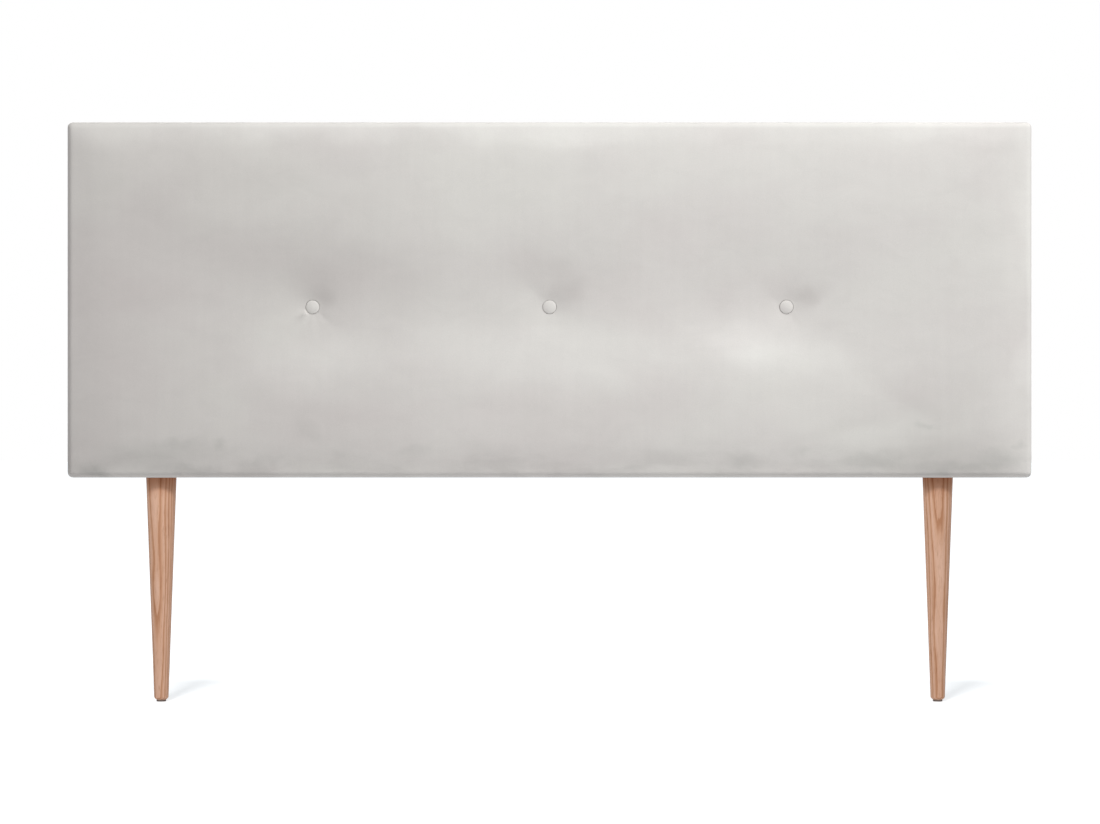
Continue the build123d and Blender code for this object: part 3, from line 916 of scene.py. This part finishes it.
def swelling():
    """How the front moves as cloth under the foam's pressure, on a sheet of even squares."""
    nx = round(2 * (HALF_W - SHEET_INSET) / SHEET_PITCH) + 1
    nz = round(2 * (HALF_H - SHEET_INSET) / SHEET_PITCH) + 1
    xs = np.linspace(-HALF_W + SHEET_INSET, HALF_W - SHEET_INSET, nx)
    zs = np.linspace(-HALF_H + SHEET_INSET, HALF_H - SHEET_INSET, nz)
    gx, gz = np.meshgrid(xs, zs, indexing="ij")
    start = front_points(gx, gz).reshape(-1, 3)
    sheet = make_object("swelling_front", start, list(grid_squares(nx, nz).values()))
    held = np.ones((nx, nz), bool)
    held[1:-1, 1:-1] = False
    held = held.ravel()
    for cx, cz in CENTRES:
        held |= np.hypot(start[:, 0] - cx, start[:, 2] - cz) < SEAT_R + HELD_RING
    group = sheet.vertex_groups.new(name="held")
    group.add([int(k) for k in np.flatnonzero(held)], 1.0, "REPLACE")
    cloth = sheet.modifiers.new("Cloth", "CLOTH")
    cloth.settings.quality = CLOTH_QUALITY
    cloth.settings.use_pressure = True
    cloth.settings.uniform_pressure_force = PRESSURE
    cloth.settings.vertex_group_mass = "held"
    cloth.settings.effector_weights.gravity = 0.0
    cloth.collision_settings.use_collision = False
    cloth.point_cache.frame_start = 1
    cloth.point_cache.frame_end = SWELL_FRAMES
    scene = bpy.context.scene
    for number in range(1, SWELL_FRAMES + 1):
        scene.frame_set(number)
    shaped = sheet.evaluated_get(bpy.context.evaluated_depsgraph_get())
    move = read_points(shaped.data) - start
    bpy.data.objects.remove(sheet)
    scene.frame_set(1)
    return xs, zs, move.reshape(nx, nz, 3)


def swell(obj):
    """Move the cover as its front swells, with its edge and button seats kept."""
    xs, zs, move = swelling()
    length = np.maximum(np.linalg.norm(move, axis=2), 1e-9)
    move *= (SWELL_CAP * np.tanh(length / SWELL_CAP) / length)[:, :, None]
    points = read_points(obj.data)
    rows = (points[:, 0] - xs[0]) / (xs[1] - xs[0])
    columns = (points[:, 2] - MID_Z - zs[0]) / (zs[1] - zs[0])
    share = np.clip((FRONT_Y + HELD_DEPTH - points[:, 1]) / EASE, 0, 1)
    for cx, cz in CENTRES:
        from_seat = np.hypot(points[:, 0] - cx, points[:, 2] - cz) - SEAT_R
        share = np.minimum(share, np.clip(from_seat / EASE, 0, 1))
    points += smoothstep(share)[:, None] * spline_sample(move, rows, columns)
    obj.data.vertices.foreach_set("co", points.ravel())
    obj.data.update()


cover = cover_mesh()
swell(cover)
rounder = cover.modifiers.new("rounder", "SUBSURF")
rounder.levels = rounder.render_levels = 1
dress(cover, VELVET)
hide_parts("upholstery_cover", "foam_pad")
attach(cover, "board")


# Buttons


def button_profile():
    """From the tuck at the back round the rim and over the dome, as (radius, height)."""
    height = BUTTON_HI.y - BUTTON_LO.y - BUTTON_SUNK
    rim_r = BUTTON_R - BUTTON_RIM_R
    dome_r = (rim_r + BUTTON_RIM_R * math.sin(BUTTON_DOME)) / math.sin(BUTTON_DOME)
    rim_z = height - dome_r * (1 - math.cos(BUTTON_DOME)) - BUTTON_RIM_R * math.cos(BUTTON_DOME)
    rim_end = 90 - math.degrees(BUTTON_DOME)
    profile = [(BUTTON_R - BUTTON_TUCK, 0.0)]
    profile += arc(rim_r, rim_z, BUTTON_RIM_R, -50, rim_end, 10)
    profile += arc(0, height - dome_r, dome_r, rim_end, 89.5, 7)[1:]
    return profile


def button_piece(name, material, cx, cz):
    """A covered button: cloth drawn over a domed shell, rounded in at the rim."""
    obj = lathe(name, button_profile(), BUTTON_SEGMENTS, (0, 0, 0))
    for v in obj.data.vertices:
        v.co = Vector((cx + v.co.x, BUTTON_HI.y - v.co.z, cz + v.co.y))
    dress(obj, material)
    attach(obj, "board")
    return obj


# Each button gets its own copy of the velvet, lightened or darkened by its painted light
for number, (level, centre) in enumerate(zip(BUTTON_PAINTED_LIGHT_LEVELS, CENTRES), 1):
    name = f"covered_button_{number}"
    button = button_piece(name, velvet_material(name, level, ()), *centre)
    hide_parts("covered_buttons")


# Dust cover over the back


def bays(x, z):
    """1 in the middle of each open bay of the frame and 0 over its posts and rails."""
    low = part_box("bottom_rail")[1].z
    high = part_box("top_rail")[0].z
    clear = np.minimum(z - low, high - z)
    for node in nodes:
        if node.endswith("_post"):
            lo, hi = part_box(node)
            clear = np.minimum(clear, np.maximum(lo.x - x, x - hi.x))
    return smoothstep(np.clip(clear / BAY_EDGE, 0, 1))


def hemmed(low, high):
    """Places across the cloth, with a close pair at each hem's edge."""
    hem = [0.0, HEM / 2, HEM - HEM_FALL, HEM]
    inner = between(low + HEM, high - HEM, DUST_PITCH)
    return np.array([low + h for h in hem] + inner + [high - h for h in reversed(hem)])


def puckers(along, from_edge, gap):
    return np.sin(along * 2 * math.pi / gap) * np.exp(-from_edge / PUCKER_REACH)


def dust_cover_piece():
    """Non-woven cloth stapled over the back: a folded hem, slack that puckers, and sagging bays."""
    lo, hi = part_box("dust_cover")
    xs, zs = hemmed(lo.x, hi.x), hemmed(lo.z, hi.z)
    gx, gz = np.meshgrid(xs, zs, indexing="ij")
    from_side = np.minimum(gx - lo.x, hi.x - gx)
    from_end = np.minimum(gz - lo.z, hi.z - gz)
    inset = np.minimum(from_side, from_end)
    slack = np.clip((inset - HEM) / DUST_SLACK_REACH, 0, 1)
    wave = waves(gx, gz, 11, DUST_WAVES, DUST_LENGTHS)
    pucker = puckers(gx, from_end, PUCKER_GAP_X) + puckers(gz, from_side, PUCKER_GAP_Z)
    back = hi.y - HEM_STEP - DUST_SLACK * slack * (0.5 + 0.5 * np.tanh(wave * 1.6))
    back -= PUCKER_HEIGHT * pucker * (inset > HEM)
    back -= BAY_SAG * bays(gx, gz) * (0.8 + 0.2 * np.tanh(wave * 2.5))
    back += HEM_STEP * (inset < HEM)
    verts = np.stack([gx, back, gz], axis=-1).reshape(-1, 3)
    # The same squares the other way round, as this cloth faces +Y
    faces = [(a, d, c, b) for a, b, c, d in grid_squares(len(xs), len(zs)).values()]
    obj = make_object("dust_cover_cloth", verts, faces)
    thick = obj.modifiers.new("thickness", "SOLIDIFY")
    thick.thickness = DUST_THICKNESS
    thick.offset = -1
    dress(obj, DUST_CLOTH)
    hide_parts("dust_cover")
    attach(obj, "board")


dust_cover_piece()


# Legs and glides


def leg_profile(length, top_r):
    """From the foot's flat end up to the flat top, as (radius, height)."""
    profile = [(FOOT_BASE_R, 0.0)]
    profile += arc(FOOT_R - FOOT_ROUND_R, FOOT_ROUND_Z, FOOT_ROUND_R, -62, -2, 7)
    start = profile[-1]
    end = (top_r - TOP_INSET, length - TOP_EDGE_R)
    for i in range(1, TAPER_STEPS + 1):
        s = i / TAPER_STEPS
        profile.append((start[0] + (end[0] - start[0]) * s, start[1] + (end[1] - start[1]) * s))
    profile += arc(end[0] - TOP_EDGE_R, end[1], TOP_EDGE_R, 0, 90, 4)[1:]
    return profile


def leg_piece(side):
    lo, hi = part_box(f"{side}_leg")
    cx, cy = (lo.x + hi.x) / 2, (lo.y + hi.y) / 2
    profile = leg_profile(hi.z - lo.z, (hi.x - lo.x) / 2)
    obj = lathe(f"turned_leg_{side}", profile, LEG_SEGMENTS, (cx, cy, lo.z))
    dress(obj, OAK[side])
    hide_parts(f"{side}_leg")
    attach(obj, f"{side}_screw_in_leg")
    return obj


legs = [leg_piece(side) for side in ("left", "right")]
glides = [nodes["left_glide"], nodes["right_glide"]]


# Floor, background, light and camera


# Corners of the floor, and its glow to the eye and as bounced light
FLOOR_CORNERS = ((-14, -9, 0), (14, -9, 0), (14, 24, 0), (-14, 24, 0))
FLOOR_GLOW = (0.955, 1.000, 1.030, 1)
FLOOR_BOUNCE = 0.36

# The share of the glow taken away near each foot, and the distances between which it comes back
SHADOW_SHARE = 0.28
SHADOW_NEAR, SHADOW_FAR = 0.34, 0.50

WORLD_LEVEL = 0.17
WORLD_COLOUR = (1.0, 0.95, 0.935, 1)

# The photograph's camera, level and square on to the board's middle
SENSOR_MM = 36.0
LENS_MM = 98.0
CAMERA_AT = (0.0008, -5.0, 0.4843)


def seen_directly(tree):
    """1 for camera, glossy and transmission rays, else 0."""
    rays = tree.nodes.new("ShaderNodeLightPath").outputs
    seen = math_node(tree, "MAXIMUM", rays["Is Camera Ray"], rays["Is Glossy Ray"])
    return math_node(tree, "MAXIMUM", seen, rays["Is Transmission Ray"])


def from_nearer_foot(tree):
    """Distance on the floor from the nearer foot."""
    place = tree.nodes.new("ShaderNodeSeparateXYZ")
    feed(tree, place, {"Vector": place_vector(tree)})
    across = math_node(tree, "SUBTRACT", math_node(tree, "ABSOLUTE", place.outputs["X"]), FOOT_X)
    along = math_node(tree, "SUBTRACT", place.outputs["Y"], FOOT_Y)
    squares = [math_node(tree, "MULTIPLY", side, side) for side in (across, along)]
    return math_node(tree, "SQRT", math_node(tree, "ADD", *squares))


def floor_piece():
    """White to the eye, with the feet's shadows on it."""
    obj = make_object("studio_floor", FLOOR_CORNERS, [(0, 1, 2, 3)], smooth=False)
    mat, tree, bsdf = new_material("studio_floor")
    feed(tree, bsdf, {
        "Base Color": (0.80, 0.80, 0.80, 1),
        "Roughness": 0.9,
        "Specular IOR Level": 0.0,
    })
    whiteness = smooth_range(tree, from_nearer_foot(tree), SHADOW_NEAR, SHADOW_FAR, 1 - SHADOW_SHARE)
    seen = seen_directly(tree)
    bounce = math_node(tree, "MULTIPLY", math_node(tree, "SUBTRACT", 1, seen), FLOOR_BOUNCE)
    strength = math_node(tree, "ADD", math_node(tree, "MULTIPLY", seen, whiteness), bounce)
    glow = tree.nodes.new("ShaderNodeEmission")
    feed(tree, glow, {"Color": FLOOR_GLOW, "Strength": strength})
    both = tree.nodes.new("ShaderNodeAddShader")
    feed(tree, both, {0: glow.outputs["Emission"], 1: bsdf.outputs["BSDF"]})
    out = next(n for n in tree.nodes if n.type == "OUTPUT_MATERIAL")
    feed(tree, out, {"Surface": both.outputs["Shader"]})
    dress(obj, mat)
    return obj


def world():
    """White where it is seen, and dimmer and warmer as light."""
    studio = bpy.data.worlds.new("studio")
    bpy.context.scene.world = studio
    studio.use_nodes = True
    tree = studio.node_tree
    tree.nodes.clear()
    out = tree.nodes.new("ShaderNodeOutputWorld")
    ambient = tree.nodes.new("ShaderNodeBackground")
    feed(tree, ambient, {"Color": WORLD_COLOUR, "Strength": WORLD_LEVEL})
    white = tree.nodes.new("ShaderNodeBackground")
    feed(tree, white, {"Color": (1, 1, 1, 1)})
    both = tree.nodes.new("ShaderNodeMixShader")
    feed(tree, both, {
        0: seen_directly(tree),
        1: ambient.outputs["Background"],
        2: white.outputs["Background"],
    })
    feed(tree, out, {"Surface": both.outputs["Shader"]})


def area_light(name, place, target, side, energy, colour=(1, 1, 1)):
    """A square light at a place, turned to a target."""
    data = bpy.data.lights.new(name, "AREA")
    data.shape = "RECTANGLE"
    data.size = data.size_y = side
    data.energy = energy
    data.color = colour
    obj = bpy.data.objects.new(name, data)
    obj.location = place
    obj.rotation_euler = (Vector(target) - Vector(place)).to_track_quat("-Z", "Y").to_euler()
    bpy.context.scene.collection.objects.link(obj)
    return obj


def link_light(light, state, objects):
    """The light reaches only these objects (INCLUDE), or all but these (EXCLUDE)."""
    group = bpy.data.collections.new(light.name + "_receivers")
    for obj in objects:
        group.objects.link(obj)
    for member in group.collection_objects:
        member.light_linking.link_state = state
    light.light_linking.receiver_collection = group


floor = floor_piece()
world()
key = area_light("key", place=(2.9, -3.0, 5.6), target=(0, 0, 0.66), side=1.9, energy=415,
                 colour=(0.985, 1.0, 0.995))
link_light(key, "EXCLUDE", [floor, *legs, *glides])
fill = area_light("front_fill", place=(-1.9, -4.6, 2.6), target=(0, 0, 0.5), side=1.0, energy=22,
                  colour=(1.0, 0.985, 0.98))
link_light(fill, "EXCLUDE", [floor])
back_light = area_light("back_light", place=(-2.4, 4.6, 3.4), target=(0, 0, 0.6), side=1.6,
                        energy=190)
link_light(back_light, "EXCLUDE", [floor])
leg_light = area_light("leg_light", place=(0.0, -4.2, 3.9), target=(0, 0, 0.2), side=0.9,
                       energy=170)
link_light(leg_light, "INCLUDE", [*legs, *glides])
floor_light = area_light("floor_light", place=(-1.0, -5.5, 4.3), target=(0, 0, 0), side=0.9,
                         energy=225)
link_light(floor_light, "INCLUDE", [floor])

camera_data = bpy.data.cameras.new("camera")
camera_data.sensor_width = SENSOR_MM
camera_data.lens = LENS_MM
camera = bpy.data.objects.new("camera", camera_data)
camera.location = CAMERA_AT
camera.rotation_euler = (math.pi / 2, 0, 0)
bpy.context.scene.collection.objects.link(camera)
bpy.context.scene.camera = camera
bpy.context.scene.view_settings.view_transform = "Standard"
